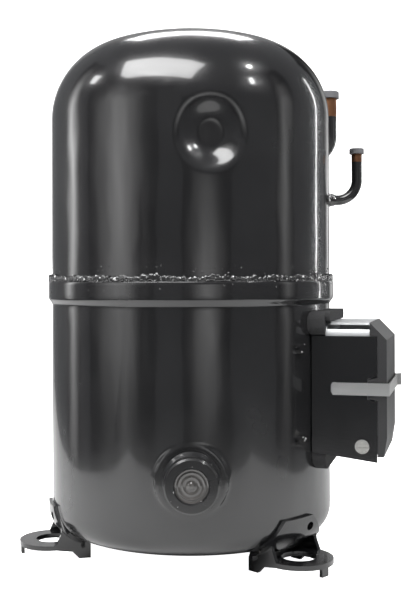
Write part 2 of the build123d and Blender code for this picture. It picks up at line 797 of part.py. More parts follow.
FRAME_TOP = 334.0
ROOF_Z = 376.0
SCROLL_TOP = 392.0
SCROLL_R = 100.0
PORT_R = 7.0
BOLT_AT = 94.0
BOLTS = 4
BOLT_START = 10
with BuildPart() as fixed_scroll:
    with BuildSketch(Plane.XY.offset(FRAME_TOP)):
        Circle(SCROLL_R)
        Circle(87.5, mode=Mode.SUBTRACT)
    extrude(amount=ROOF_Z - FRAME_TOP)
    with BuildSketch(Plane.XY.offset(ROOF_Z)):
        Circle(SCROLL_R)
        Circle(PORT_R, mode=Mode.SUBTRACT)
    extrude(amount=SCROLL_TOP - ROOF_Z)
    side_a, side_b = wrap_sketch(0, 0, 0)
    with BuildSketch(Plane.XY.offset(WRAP_LOW + 0.2)):
        with BuildLine():
            Spline(*side_a)
            Line(side_a[-1], side_b[-1])
            Spline(*reversed(side_b))
            Line(side_b[0], side_a[0])
        make_face()
    extrude(amount=ROOF_Z - WRAP_LOW)
    with BuildSketch(radial_plane(SUCTION_ANGLE, 84, SUCTION_Z)):
        Circle(SUCTION_R + 0.06)
    extrude(amount=20, mode=Mode.SUBTRACT)
    with BuildSketch(Plane.XY.offset(FRAME_TOP)):
        with PolarLocations(BOLT_AT, BOLTS, start_angle=BOLT_START):
            Circle(3.2)
    extrude(amount=60, mode=Mode.SUBTRACT)
save(fixed_scroll.part, "fixed_scroll")

KEY = 10.0
KEY_AT = 58.0
KEY_LENGTH = 11.0
RING_LOW = 328.5
BOSS_LOW = 325.5
with BuildPart() as orbiting_scroll:
    with BuildSketch(Plane.XY.offset(FRAME_TOP + 0.3)):
        with Locations((ORBIT, 0)):
            Circle(PLATE_R)
    extrude(amount=9.7)
    side_a, side_b = wrap_sketch(ORBIT, 0, math.pi)
    with BuildSketch(Plane.XY.offset(FRAME_TOP + 10)):
        with BuildLine():
            Spline(*side_a)
            Line(side_a[-1], side_b[-1])
            Spline(*reversed(side_b))
            Line(side_b[0], side_a[0])
        make_face()
    extrude(amount=WRAP_HIGH - FRAME_TOP - 10)
    with BuildSketch(Plane.XY.offset(BOSS_LOW)):
        with Locations((ORBIT, 0)):
            Circle(20)
    extrude(amount=9)
    with BuildSketch(Plane.XY.offset(BOSS_LOW)):
        with Locations((ORBIT, 0)):
            Circle(15)
    extrude(amount=8.6, mode=Mode.SUBTRACT)
    # key slots
    with BuildSketch(Plane.XY.offset(FRAME_TOP + 0.3)):
        with Locations((60, 0), (-60, 0)):
            Rectangle(40, KEY + 4 * ORBIT + 1)
    extrude(amount=5, mode=Mode.SUBTRACT)
save(orbiting_scroll.part, "orbiting_scroll")
save(upright_ring(14.95, 12.05, BOSS_LOW, FRAME_TOP, ORBIT), "scroll_bearing")

with BuildPart() as oldham_ring:
    with BuildSketch(Plane.XY.offset(RING_LOW)):
        Circle(64)
        Circle(52, mode=Mode.SUBTRACT)
    extrude(amount=5.2)
    with BuildSketch(Plane.XY.offset(RING_LOW)):
        with Locations((KEY_AT, 0), (-KEY_AT, 0)):
            Rectangle(KEY_LENGTH, KEY)
    extrude(amount=10)
    with BuildSketch(Plane.XY.offset(324.5)):
        with Locations((0, KEY_AT), (0, -KEY_AT)):
            Rectangle(KEY, KEY_LENGTH)
    extrude(amount=6)
save(oldham_ring.part, "oldham_ring")

with BuildPart() as main_frame:
    with BuildSketch(Plane.XY.offset(FRAME_LOW)):
        Circle(INNER_R - FIT)
        with Locations(DIMPLE_PLANE.x_dir * 154.0):
            Rectangle(80, 120, rotation=DIMPLE_ANGLE, mode=Mode.SUBTRACT)
        with PolarLocations(INNER_R, 4, start_angle=62):
            Rectangle(14, 34, mode=Mode.SUBTRACT)
    extrude(amount=FRAME_TOP - FRAME_LOW)
    with BuildSketch(Plane.XY.offset(HUB_LOW)):
        Circle(HUB_R)
    extrude(amount=45)
    with BuildSketch(Plane.XY.offset(STATOR_HIGH)):
        with PolarLocations(LEG_AT, LEGS, start_angle=LEG_START):
            Circle(8)
    extrude(amount=63)
    with BuildSketch(Plane.XY.offset(328)):
        Circle(70.5)
        Circle(45.5, mode=Mode.SUBTRACT)
    extrude(amount=8, mode=Mode.SUBTRACT)
    with BuildSketch(Plane.XY.offset(324)):
        with Locations((0, KEY_AT), (0, -KEY_AT)):
            Rectangle(KEY + 0.6, KEY_LENGTH + 2 * ORBIT + 1)
    extrude(amount=8, mode=Mode.SUBTRACT)
    with BuildSketch(Plane.XY.offset(318.5)):
        Circle(36)
    extrude(amount=20, mode=Mode.SUBTRACT)
    with BuildSketch(Plane.XY.offset(270)):
        Circle(20)
    extrude(amount=60, mode=Mode.SUBTRACT)
    with BuildSketch(Plane.XY.offset(STATOR_HIGH)):
        with PolarLocations(LEG_AT, LEGS, start_angle=LEG_START):
            Circle(3.1)
    extrude(amount=20, mode=Mode.SUBTRACT)
    with BuildSketch(Plane.XY.offset(318)):
        with PolarLocations(BOLT_AT, BOLTS, start_angle=BOLT_START):
            Circle(3.1)
    extrude(amount=20, mode=Mode.SUBTRACT)
save(main_frame.part, "main_frame")
save(upright_ring(19.95, SHAFT_R + 0.05, HUB_LOW, 318), "main_bush")

with BuildPart() as scroll_bolts:
    with BuildSketch(Plane.XY.offset(319)):
        with PolarLocations(BOLT_AT, BOLTS, start_angle=BOLT_START):
            Circle(3)
    extrude(amount=73)
    with BuildSketch(Plane.XY.offset(SCROLL_TOP)):
        with PolarLocations(BOLT_AT, BOLTS, start_angle=BOLT_START):
            Circle(5)
    extrude(amount=6)
save(scroll_bolts.part, "scroll_bolts")

save(upright_ring(13, 0, SCROLL_TOP + 0.15, SCROLL_TOP + 1.2), "discharge_valve")
with BuildPart() as valve_guard:
    with BuildSketch(Plane.XY.offset(396.2)):
        RectangleRounded(62, 22, 10)
        Circle(5, mode=Mode.SUBTRACT)
    extrude(amount=3)
    with BuildSketch(Plane.XY.offset(SCROLL_TOP)):
        with Locations((23, 0), (-23, 0)):
            Circle(6)
    extrude(amount=4.3)
save(valve_guard.part, "valve_guard")

with BuildPart() as muffler_cover:
    with BuildSketch(Plane.XZ):
        with BuildLine():
            Polyline(
                (86, SCROLL_TOP),
                (86, SCROLL_TOP + 2),
                (72, SCROLL_TOP + 2),
                (66, 418),
                (0, 424),
                (0, 422),
                (64.5, 416.2),
                (70.5, SCROLL_TOP),
                close=True,
            )
        make_face()
    revolve(axis=Axis.Z)
    with BuildSketch(Plane.XY.offset(400)):
        with PolarLocations(48, 6):
            Circle(6)
    extrude(amount=40, mode=Mode.SUBTRACT)
save(muffler_cover.part, "muffler_cover")

# ======== motor ========
with BuildPart() as stator_core:
    with BuildSketch(Plane.XY.offset(STATOR_LOW)):
        Circle(STATOR_R)
        Circle(STATOR_BORE, mode=Mode.SUBTRACT)
        with PolarLocations(SLOT_AT, SLOTS):
            Rectangle(20, 7, mode=Mode.SUBTRACT)
        with PolarLocations(LEG_AT, LEGS, start_angle=LEG_START):
            Circle(3.3, mode=Mode.SUBTRACT)
    extrude(amount=STATOR_HIGH - STATOR_LOW)
save(stator_core.part, "stator_core")

with BuildPart() as stator_winding:
    with BuildSketch(Plane.XY.offset(STATOR_LOW - END_TURN)):
        Circle(END_TURN_R)
        Circle(END_TURN_BORE, mode=Mode.SUBTRACT)
    extrude(amount=END_TURN - 0.2)
    with BuildSketch(Plane.XY.offset(STATOR_HIGH + 0.2)):
        Circle(END_TURN_R)
        Circle(END_TURN_BORE, mode=Mode.SUBTRACT)
    extrude(amount=END_TURN)
    with BuildSketch(Plane.XY.offset(STATOR_LOW - 2)):
        with PolarLocations(SLOT_AT, SLOTS):
            Rectangle(17, 6.4)
    extrude(amount=STATOR_HIGH - STATOR_LOW + 4)
save(stator_winding.part, "stator_winding")

with BuildPart() as stator_bolts:
    with BuildSketch(Plane.XY.offset(STATOR_LOW)):
        with PolarLocations(LEG_AT, LEGS, start_angle=LEG_START):
            Circle(3)
    extrude(amount=112)
    with BuildSketch(Plane.XY.offset(STATOR_LOW - 6)):
        with PolarLocations(LEG_AT, LEGS, start_angle=LEG_START):
            RegularPolygon(6.5, 6)
    extrude(amount=6)
save(stator_bolts.part, "stator_bolts")

save(upright_ring(51.2, SHAFT_R + FIT, ROTOR_LOW, ROTOR_HIGH), "rotor_core")
with BuildPart() as rotor_rings:
    for ring_low in (ROTOR_LOW - END_RING, ROTOR_HIGH):
        with BuildSketch(Plane.XY.offset(ring_low)):
            Circle(END_RING_R)
            Circle(END_RING_BORE, mode=Mode.SUBTRACT)
        extrude(amount=END_RING)
save(rotor_rings.part, "rotor_rings")


def half_weight(low, high, side):
    with BuildPart() as weight:
        with BuildSketch(Plane.XY.offset(low)):
            Circle(END_RING_R)
            Circle(END_RING_BORE, mode=Mode.SUBTRACT)
            with Locations((-side * 50, 0)):
                Rectangle(100, 120, mode=Mode.SUBTRACT)
        extrude(amount=high - low)
    return weight.part


save(half_weight(ROTOR_HIGH + END_RING, 270.5, -1), "upper_counterweight")
save(half_weight(140, ROTOR_LOW - END_RING, 1), "lower_counterweight")

with BuildPart() as crankshaft:
    with BuildSketch(Plane.XY.offset(90)):
        Circle(TAIL_R)
    extrude(amount=48)
    with BuildSketch(Plane.XY.offset(137.3)):
        Circle(SHAFT_R)
    extrude(amount=182)
    with BuildSketch(Plane.XY.offset(319)):
        Circle(24)
    extrude(amount=5)
    with BuildSketch(Plane.XY.offset(323)):
        with Locations((ORBIT, 0)):
            Circle(12)
    extrude(amount=10.5)
    with BuildSketch(Plane.XY.offset(80)):
        Circle(3.5)
    extrude(amount=270, mode=Mode.SUBTRACT)
    with BuildSketch(Plane.XY.offset(85)):
        Circle(8.05)
    extrude(amount=16, mode=Mode.SUBTRACT)
save(crankshaft.part, "crankshaft")
save(upright_ring(8, 5.5, 29, 100.5), "oil_pickup")

with BuildPart() as lower_bracket:
    with BuildSketch(Plane.XY.offset(BRACKET_LOW)):
        Circle(24)
    extrude(amount=BRACKET_HIGH - BRACKET_LOW)
    with BuildSketch(Plane.XY.offset(98)):
        with PolarLocations(70, 3, start_angle=30):
            Rectangle(104, 26)
    extrude(amount=16)
    with BuildSketch(Plane.XY.offset(90)):
        Circle(200)
        Circle(INNER_R - FIT, mode=Mode.SUBTRACT)
    extrude(amount=30, mode=Mode.SUBTRACT)
    with BuildSketch(Plane.XY.offset(80)):
        Circle(16)
    extrude(amount=60, mode=Mode.SUBTRACT)
save(lower_bracket.part, "lower_bracket")
save(upright_ring(15.95, TAIL_R + 0.05, BRACKET_LOW, BRACKET_HIGH), "lower_bush")
save(upright_ring(16.5, TAIL_R + 0.3, BRACKET_HIGH, BRACKET_HIGH + 3), "thrust_washer")
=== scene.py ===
import json
import math
import random
import bpy
import numpy as np
from mathutils import Matrix, Vector, noise


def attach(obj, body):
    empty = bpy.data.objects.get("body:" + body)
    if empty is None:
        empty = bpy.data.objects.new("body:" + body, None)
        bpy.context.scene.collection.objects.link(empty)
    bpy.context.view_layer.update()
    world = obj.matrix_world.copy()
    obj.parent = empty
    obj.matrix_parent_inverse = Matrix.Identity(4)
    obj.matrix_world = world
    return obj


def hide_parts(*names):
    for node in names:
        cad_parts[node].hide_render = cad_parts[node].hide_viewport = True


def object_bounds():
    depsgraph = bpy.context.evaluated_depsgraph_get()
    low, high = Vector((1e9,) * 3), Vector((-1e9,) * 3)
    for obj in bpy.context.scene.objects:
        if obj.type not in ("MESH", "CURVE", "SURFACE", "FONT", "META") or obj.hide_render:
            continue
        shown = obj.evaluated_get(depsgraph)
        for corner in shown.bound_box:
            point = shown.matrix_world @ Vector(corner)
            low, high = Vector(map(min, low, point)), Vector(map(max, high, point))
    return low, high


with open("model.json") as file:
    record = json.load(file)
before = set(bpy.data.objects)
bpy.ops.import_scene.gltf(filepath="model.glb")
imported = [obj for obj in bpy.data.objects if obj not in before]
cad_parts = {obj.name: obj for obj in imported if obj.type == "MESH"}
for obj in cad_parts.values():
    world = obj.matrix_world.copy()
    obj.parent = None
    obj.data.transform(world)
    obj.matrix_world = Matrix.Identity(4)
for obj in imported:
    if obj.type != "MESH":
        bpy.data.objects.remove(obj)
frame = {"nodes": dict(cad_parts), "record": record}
START_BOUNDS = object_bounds()
random.seed(7)
MM = 0.001

# the shell and what is formed in it, in mm and degrees, as the CAD frame has them
R, WALL = 127.0, 3.2
CROWN_R, KNUCKLE_R, TOP = 260.0, 70.0, 459.0
BASE_Z, BOTTOM_KNUCKLE = 9.0, 22.0
RAMP_LOW, RAMP_RISE = 212.0, 6.5
RIM_R, RIM_TOP = 130.4, 233.0
LAP_LOW = 219.5
DIMPLE_ANGLE, DIMPLE_Z, DIMPLE_DEPTH = -66.3, 352.0, 9.0
DIMPLE_EDGE, DIMPLE_SLOPE = 33.0, 23.0
SIGHT_ANGLE, SIGHT_Z = -74.0, 74.0
PAD_X, PAD_EDGE, PAD_SLOPE = 127.6, 31.0, 2.6
SUCTION_ANGLE, SUCTION_Z, SUCTION_R = 48, 360, 7.94
DISCHARGE_ANGLE, DISCHARGE_Z, DISCHARGE_R = 16, 307.5, 4.76
WELD_Z = 235.0
SHELL_COLS = 560

# the camera, in metres, degrees and pixels of a 420 x 600 picture
PICTURE_HIGH = 600.0
FOCAL_LENGTH = 971.5
SENSOR = 36.0
SHIFT_RIGHT, SHIFT_UP = 19.2, -20.0
CAMERA_DISTANCE, CAMERA_HEIGHT = 0.9, 0.234
CAMERA_AZIMUTH, CAMERA_ROLL = 16, -0.2


# ---------------------------------------------------------------- materials
COAT_ROUGHNESS = 0.08
BROAD_SCALE, BROAD_DETAIL = 18.0, 5.0
BUMP_DEPTH = 0.0006
WEAR_GLINT_START, WEAR_GLINT_WIDTH, WEAR_GLINT_REACH = 0.72, 0.04, 0.12


def material(name, color, rough=0.5, metal=0.0, coat=0.0, bump=0.0, scale=400.0, wear_and_glint=0.0,
             wear_and_glint_color=(0.3, 0.3, 0.3), stretch=(1, 1, 1), mottle=0.15, detail=4.0, rough_var=0.1):
    # a broad noise mottles the colour and gloss, and a fine one gives grain and specks: worn paint on
    # some finishes, painted glints on the weld and studs
    m = bpy.data.materials.new(name)
    m.use_nodes = True
    nt = m.node_tree
    b = nt.nodes["Principled BSDF"]
    b.inputs["Metallic"].default_value = metal
    b.inputs["Coat Weight"].default_value = coat
    b.inputs["Coat Roughness"].default_value = COAT_ROUGHNESS
    tc = nt.nodes.new("ShaderNodeTexCoord")
    mp = nt.nodes.new("ShaderNodeMapping")
    mp.inputs["Scale"].default_value = stretch
    nt.links.new(tc.outputs["Object"], mp.inputs["Vector"])
    big = nt.nodes.new("ShaderNodeTexNoise")
    big.inputs["Scale"].default_value = BROAD_SCALE
    big.inputs["Detail"].default_value = BROAD_DETAIL
    nt.links.new(mp.outputs["Vector"], big.inputs["Vector"])
    fine = nt.nodes.new("ShaderNodeTexNoise")
    fine.inputs["Scale"].default_value = scale
    fine.inputs["Detail"].default_value = detail
    nt.links.new(mp.outputs["Vector"], fine.inputs["Vector"])
    mix = nt.nodes.new("ShaderNodeMixRGB")
    mix.inputs["Color1"].default_value = (*[c * (1 - mottle) for c in color], 1)
    mix.inputs["Color2"].default_value = (*[min(1, c * (1 + mottle)) for c in color], 1)
    nt.links.new(big.outputs["Fac"], mix.inputs["Fac"])
    last = mix.outputs["Color"]
    # specks from the fine noise in their own colour: worn paint on some finishes, painted glints on the
    # weld and stud paint
    if wear_and_glint:
        ramp = nt.nodes.new("ShaderNodeValToRGB")
        ramp.color_ramp.elements[0].position = WEAR_GLINT_START - wear_and_glint * WEAR_GLINT_REACH
        ramp.color_ramp.elements[1].position = WEAR_GLINT_START + WEAR_GLINT_WIDTH - wear_and_glint * WEAR_GLINT_REACH
        nt.links.new(fine.outputs["Fac"], ramp.inputs["Fac"])
        w = nt.nodes.new("ShaderNodeMixRGB")
        nt.links.new(ramp.outputs["Color"], w.inputs["Fac"])
        nt.links.new(last, w.inputs["Color1"])
        w.inputs["Color2"].default_value = (*wear_and_glint_color, 1)
        last = w.outputs["Color"]
    nt.links.new(last, b.inputs["Base Color"])
    rr = nt.nodes.new("ShaderNodeMapRange")
    rr.inputs["To Min"].default_value = max(0.02, rough - rough_var)
    rr.inputs["To Max"].default_value = min(1.0, rough + rough_var)
    nt.links.new(big.outputs["Fac"], rr.inputs["Value"])
    nt.links.new(rr.outputs["Result"], b.inputs["Roughness"])
    if bump:
        bp = nt.nodes.new("ShaderNodeBump")
        bp.inputs["Strength"].default_value = bump
        bp.inputs["Distance"].default_value = BUMP_DEPTH
        nt.links.new(fine.outputs["Fac"], bp.inputs["Height"])
        nt.links.new(bp.outputs["Normal"], b.inputs["Normal"])
    return m


BLACK = (0.008, 0.008, 0.0085)
MATS = {
    "shell_paint": material("shell_paint", BLACK, 0.24, coat=0.85, bump=0.07, scale=230,
                            rough_var=0.1, mottle=0.4),
    # weld paint: its many bright specks are painted glints, not wear
    "weld_paint": material("weld_paint", (0.012, 0.012, 0.0125), 0.12, coat=1.0, bump=0.9, scale=420,
                           wear_and_glint=0.9, wear_and_glint_color=(0.5, 0.5, 0.5)),
    "foot_paint": material("foot_paint", (0.006, 0.006, 0.0065), 0.18, coat=0.7, bump=0.12, scale=220,
                           wear_and_glint=0.15, wear_and_glint_color=(0.12, 0.11, 0.1)),
    "sight_paint": material("sight_paint", BLACK, 0.28, coat=0.3, bump=0.12, scale=300, wear_and_glint=0.2),
    # stud paint: its bright specks are painted glints on the stud heads
    "stud_paint": material("stud_paint", BLACK, 0.14, coat=1.0, bump=0.3, scale=300, wear_and_glint=0.8,
                           wear_and_glint_color=(0.4, 0.4, 0.4)),
    "box_paint": material("box_paint", (0.005, 0.005, 0.0055), 0.24, coat=0.4, bump=0.12, scale=500),
    "cover_grey": material("cover_grey", (0.022, 0.022, 0.023), 0.42, bump=0.15, scale=600),
    "zinc_sheet": material("zinc_sheet", (0.78, 0.79, 0.8), 0.52, metal=1.0, bump=0.05, scale=120,
                           mottle=0.12),
    "strap_steel": material("strap_steel", (0.85, 0.85, 0.84), 0.3, metal=1.0, bump=0.12, scale=500,
                            stretch=(0.03, 0.03, 1)),
    "screw_zinc": material("screw_zinc", (0.85, 0.84, 0.8), 0.22, metal=1.0, bump=0.1, scale=500),
    "foam": material("foam", (0.028, 0.028, 0.029), 0.92, bump=1.0, scale=650, detail=8,
                     wear_and_glint=0.2, wear_and_glint_color=(0.1, 0.1, 0.1)),
    "copper": material("copper", (0.27, 0.13, 0.07), 0.4, metal=1.0, bump=0.1, scale=300, mottle=0.4,
                       stretch=(1, 1, 0.2)),
    "plug_grey": material("plug_grey", (0.1, 0.1, 0.105), 0.55, bump=0.12, scale=400),
    "seal_grey": material("seal_grey", (0.1, 0.1, 0.1), 0.7, bump=0.2, scale=400),
    "cast": material("cast", (0.2, 0.2, 0.21), 0.55, metal=0.8, bump=0.5, scale=350),
    "steel": material("steel", (0.5, 0.5, 0.51), 0.3, metal=1.0, bump=0.1, scale=400),
    "aluminium": material("aluminium", (0.7, 0.71, 0.72), 0.4, metal=1.0, bump=0.2, scale=300),
    "bronze": material("bronze", (0.5, 0.35, 0.15), 0.35, metal=1.0, bump=0.1, scale=300),
    "winding": material("winding", (0.45, 0.17, 0.07), 0.35, metal=0.6, bump=0.8, scale=160,
                        stretch=(1, 1, 5)),
    "lamination": material("lamination", (0.25, 0.26, 0.3), 0.4, metal=1.0, bump=0.6, scale=60,
                           stretch=(0.1, 0.1, 30)),
    "plastic_dark": material("plastic_dark", (0.03, 0.03, 0.03), 0.5, bump=0.1, scale=500),
    "lead_cover": material("lead_cover", (0.06, 0.06, 0.08), 0.7, bump=0.6, scale=900),
    "seal_glass": material("seal_glass", (0.1, 0.22, 0.26), 0.15, coat=0.5, bump=0.05, scale=200),
    "lens_glass": material("lens_glass", (0.05, 0.047, 0.045), 0.1, coat=1.0, bump=0.12, scale=160,
                           mottle=0.6),
}
EDGE_WIDTH, EDGE_ANGLE = 0.0005, 35
SLOT = {s["node"]: s["material_slot"] for s in frame["record"]["subparts"]}
for name, obj in frame["nodes"].items():
    obj.data.materials.clear()
    obj.data.materials.append(MATS[SLOT[name]])
    if name.startswith(("box_", "foot_")) and name != "box_gasket":
        bev = obj.modifiers.new("soft_edges", "BEVEL")
        bev.width = EDGE_WIDTH
        bev.segments = 2
        bev.limit_method = "ANGLE"
        bev.angle_limit = math.radians(EDGE_ANGLE)
        bev.use_clamp_overlap = True


# ---------------------------------------------------------------- helpers
def mesh_piece(name, verts, faces, slot, body="casing", replaces=(), smooth=True, sharp=None):
    me = bpy.data.meshes.new(name)
    me.from_pydata([tuple(v) for v in verts], [], faces)
    me.update()
    me.validate()
    if smooth:
        me.polygons.foreach_set("use_smooth", [True] * len(me.polygons))
        if sharp:
            me.set_sharp_from_angle(angle=math.radians(sharp))
    ob = bpy.data.objects.new(name, me)
    bpy.context.scene.collection.objects.link(ob)
    me.materials.append(MATS[slot])
    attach(ob, body)
    if replaces:
        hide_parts(*replaces)
    return ob


def grid_faces(rows, cols, offset=0):
    # quads between rows of points, each row a closed ring
    f = []
    for i in range(rows - 1):
        for j in range(cols):
            k = (j + 1) % cols
            f.append((offset + i * cols + j, offset + i * cols + k,
                      offset + (i + 1) * cols + k, offset + (i + 1) * cols + j))
    return f


def lathe(name, profile, cols, slot, push=None, **kw):
    # profile is a closed loop of (r, z) in mm, run bottom to top outside, then back inside
    verts = []
    for r, z in profile:
        for j in range(cols):
            a = 2 * math.pi * j / cols
            rr = r + (push(r, z, a) if push else 0.0)
            verts.append((rr * math.cos(a) * MM, rr * math.sin(a) * MM, z * MM))
    f = grid_faces(len(profile), cols)
    n = len(profile)
    for j in range(cols):
        k = (j + 1) % cols
        f.append(((n - 1) * cols + j, (n - 1) * cols + k, k, j))
    return mesh_piece(name, verts, f, slot, **kw)


WAVES_ROUND = 3.4
SHORTER, SHORT_SHARE = 2.6, 0.35


def smooth(t):
    t = min(1.0, max(0.0, t))
    return t * t * (3 - 2 * t)


def wavy(z, a, size):
    # the slow waviness of pressed sheet, long waves with some short ones on them
    x, y = math.cos(a) * WAVES_ROUND, math.sin(a) * WAVES_ROUND
    long_wave = noise.noise(Vector((x, y, z * 0.006)))
    short_wave = noise.noise(Vector((x * SHORTER, y * SHORTER, z * 0.03 + 9)))
    return size * (long_wave + SHORT_SHARE * short_wave)


def angle_gap(a, deg):
    return (a - math.radians(deg) + math.pi) % (2 * math.pi) - math.pi


# ---------------------------------------------------------------- shells
UPPER_WAVE, LOWER_WAVE = 0.34, 0.3
WAVE_START, WAVE_FADE, CROWN_FADE, CORNER_FADE = 238, 20.0, 60.0, 30.0
NEAR = 0.4
TURN = math.asin((R - KNUCKLE_R) / (CROWN_R - KNUCKLE_R))
WALL_Z = TOP - CROWN_R + (CROWN_R - KNUCKLE_R) * math.cos(TURN)


def head(off):
    # half outline of the dished top, set in by off: wall, knuckle, crown
    p = [(R - off, z) for z in np.arange(LAP_LOW, WALL_Z - 0.5, 1.6)]
    for t in np.linspace(math.pi / 2, TURN, 34):
        p.append((R - KNUCKLE_R + (KNUCKLE_R - off) * math.sin(t),
                  WALL_Z + (KNUCKLE_R - off) * math.cos(t)))
    for t in np.linspace(TURN, 0.002, 22)[1:]:
        p.append(((CROWN_R - off) * math.sin(t), TOP - CROWN_R + (CROWN_R - off) * math.cos(t)))
    return p


def dimple(z, a):
    # the round hollow pressed in the side, flat in its middle
    g = angle_gap(a, DIMPLE_ANGLE)
    if abs(g) > NEAR or abs(z - DIMPLE_Z) > DIMPLE_EDGE:
        return 0.0
    d = math.hypot(R * math.sin(g), z - DIMPLE_Z)
    t = smooth((DIMPLE_EDGE - d) / DIMPLE_SLOPE)
    plane = (R - DIMPLE_DEPTH) / math.cos(g) - R
    return t * plane


def upper_push(r, z, a):
    wave = wavy(z, a, UPPER_WAVE) * smooth(r / CROWN_FADE)
    return dimple(z, a) + wave * smooth((z - WAVE_START) / WAVE_FADE)


def lower_push(r, z, a):
    pad = sight_pad(r, z, a)
    if pad:
        return pad
    wave = wavy(z, a + 5, LOWER_WAVE) * smooth((RAMP_LOW - z) / WAVE_FADE)
    return wave * smooth((z - BASE_Z) / CORNER_FADE)


lathe("upper_shell_skin", head(0) + head(WALL)[::-1], SHELL_COLS, "shell_paint", push=upper_push,
      replaces=("upper_shell",), sharp=50)


def low_profile(off):
    # half outline of the lower shell, set in by off: bottom, corner, wall, ramp, rim
    k = BOTTOM_KNUCKLE
    kx, kz = R - k, BASE_Z + k
    p = [(0.2, BASE_Z + off), (60, BASE_Z + off)]
    for t in np.linspace(-math.pi / 2, 0, 16):
        p.append((kx + (k - off) * math.cos(t), kz + (k - off) * math.sin(t)))
    p += [(R - off, z) for z in np.arange(32.5, 211, 1.7)]
    edge = RIM_R if off == 0 else RIM_R - (WALL + 0.1)
    for s in np.linspace(0, 1, 9):
        p.append((R - off + smooth(s) * (edge - R + off), RAMP_LOW + RAMP_RISE * s))
    p += [(edge, z) for z in (222.0, 226.0, 230.0)]
    if off == 0:
        p += [(edge, 232.2), (edge - 0.4, 232.8), (edge - 0.9, RIM_TOP)]
    else:
        p += [(edge, RIM_TOP)]
    return p


def sight_pad(r, z, a):
    # flat round pad formed under the sight glass
    g = angle_gap(a, SIGHT_ANGLE)
    if abs(g) > NEAR or abs(z - SIGHT_Z) > PAD_EDGE or r < R - 5:
        return 0.0
    d = math.hypot(R * math.sin(g), z - SIGHT_Z)
    t = smooth((PAD_EDGE - d) / PAD_SLOPE)
    return t * ((PAD_X - (R - r)) / math.cos(g) - r)


lathe("lower_shell_skin", low_profile(0) + low_profile(WALL)[::-1], SHELL_COLS, "shell_paint",
      push=lower_push, replaces=("lower_shell",), sharp=50)

# ---------------------------------------------------------------- belly weld: uneven bead
cols, rows = 1400, 14
BEAD_R = 128.35
BEAD_SIZE, BEAD_TALL = 2.0, 1.25
LUMP, GRAIN, RIPPLE = 0.8, 1.6, 0.22
LUMPS_ROUND, GRAINS_ROUND, RIPPLES_ROUND = 9, 60, 130
verts = []
for i in range(rows):
    t = 2 * math.pi * i / rows
    for j in range(cols):
        a = 2 * math.pi * j / cols
        n1 = noise.noise(Vector((math.cos(a) * LUMPS_ROUND, math.sin(a) * LUMPS_ROUND, 0.3)))
        n2 = noise.noise(Vector((math.cos(a) * GRAINS_ROUND, math.sin(a) * GRAINS_ROUND, 2.0 + i * 0.15)))
        ripple = RIPPLE * abs(math.sin(a * RIPPLES_ROUND + 2 * n1))
        rad = BEAD_SIZE + LUMP * n1 + GRAIN * n2 + ripple
        zc = WELD_Z + 1.1 * n1
        rr = min(BEAD_R + rad * math.cos(t), RIM_R - 0.05)
        high = zc + BEAD_TALL * rad * math.sin(t)
        verts.append((rr * math.cos(a) * MM, rr * math.sin(a) * MM, high * MM))
faces = grid_faces(rows, cols)
for j in range(cols):
    k = (j + 1) % cols
    faces.append(((rows - 1) * cols + j, (rows - 1) * cols + k, k, j))
mesh_piece("belly_weld_bead", verts, faces, "weld_paint", replaces=("belly_weld",))


BLOB_ROWS, BLOB_COLS = 7, 10
BLOB_FLAT, BLOB_LUMP = 0.55, 0.25


def beads(name, spots, slot, body="casing"):
    # small flattened blobs of weld spatter, each at (angle deg, z mm, radius mm, size mm)
    verts, faces = [], []
    for ang, z, r, s in spots:
        base = len(verts)
        c, sn = math.cos(math.radians(ang)), math.sin(math.radians(ang))
        for i in range(BLOB_ROWS):
            th = math.pi * (i + 0.001) / (BLOB_ROWS - 1 + 0.002)
            for j in range(BLOB_COLS):
                ph = 2 * math.pi * j / BLOB_COLS
                k = s * (1 + BLOB_LUMP * noise.noise(Vector((ang + i, z + j, s))))
                x = k * BLOB_FLAT * math.cos(th)
                y = k * math.sin(th) * math.cos(ph)
                zz = k * math.sin(th) * math.sin(ph)
                verts.append(((r + x) * c * MM - y * sn * MM, (r + x) * sn * MM + y * c * MM,
                              (z + zz) * MM))
        faces += grid_faces(BLOB_ROWS, BLOB_COLS, base)
    return mesh_piece(name, verts, faces, slot, body)


SPATTER_R = RIM_R - 0.15
SPATTER_ALL_ROUND, SPATTER_BY_BOX = 150, 26
spots = []
for _ in range(SPATTER_ALL_ROUND):
    z = random.choice((random.uniform(237.5, 246), random.uniform(219, 231)))
    spots.append((random.uniform(0, 360), z, R if z > 234 else SPATTER_R, random.uniform(0.4, 1.0)))
for _ in range(SPATTER_BY_BOX):
    spots.append((random.uniform(-22, -8), random.uniform(222, 232), SPATTER_R, random.uniform(0.5, 1.1)))
beads("weld_spatter", spots, "weld_paint")


# ---------------------------------------------------------------- stub weld collars
COLLAR_CURVE, COLLAR_LUMP, COLLAR_SUNK = 1.6, 0.5, 0.8


def collar(name, ang, z, tube_r, out_r, reach, node):
    # uneven fillet of weld from the shell up on to a stub
    c, s = math.cos(math.radians(ang)), math.sin(math.radians(ang))
    verts = []
    rows, cols = 12, 72
    for i in range(rows):
        t = i / (rows - 1)
        for j in range(cols):
            ph = 2 * math.pi * j / cols
            n = noise.noise(Vector((math.cos(ph) * 3, math.sin(ph) * 3, ang + t * 2)))
            rad = out_r + (tube_r + 0.2 - out_r) * t ** COLLAR_CURVE + COLLAR_LUMP * n * (1 - t)
            y, zz = rad * math.cos(ph), rad * math.sin(ph)
            base = math.sqrt(max(1.0, R ** 2 - y * y)) - COLLAR_SUNK
            x = base + (R + reach - base) * t
            verts.append(((x * c - y * s) * MM, (x * s + y * c) * MM, (z + zz) * MM))
    mesh_piece(name, verts, grid_faces(rows, cols), "weld_paint", replaces=(node,))


collar("suction_weld_bead", SUCTION_ANGLE, SUCTION_Z, SUCTION_R, 11.2, 5.5, "suction_weld")
collar("discharge_weld_bead", DISCHARGE_ANGLE, DISCHARGE_Z, DISCHARGE_R, 6.5, 7.0, "discharge_weld")


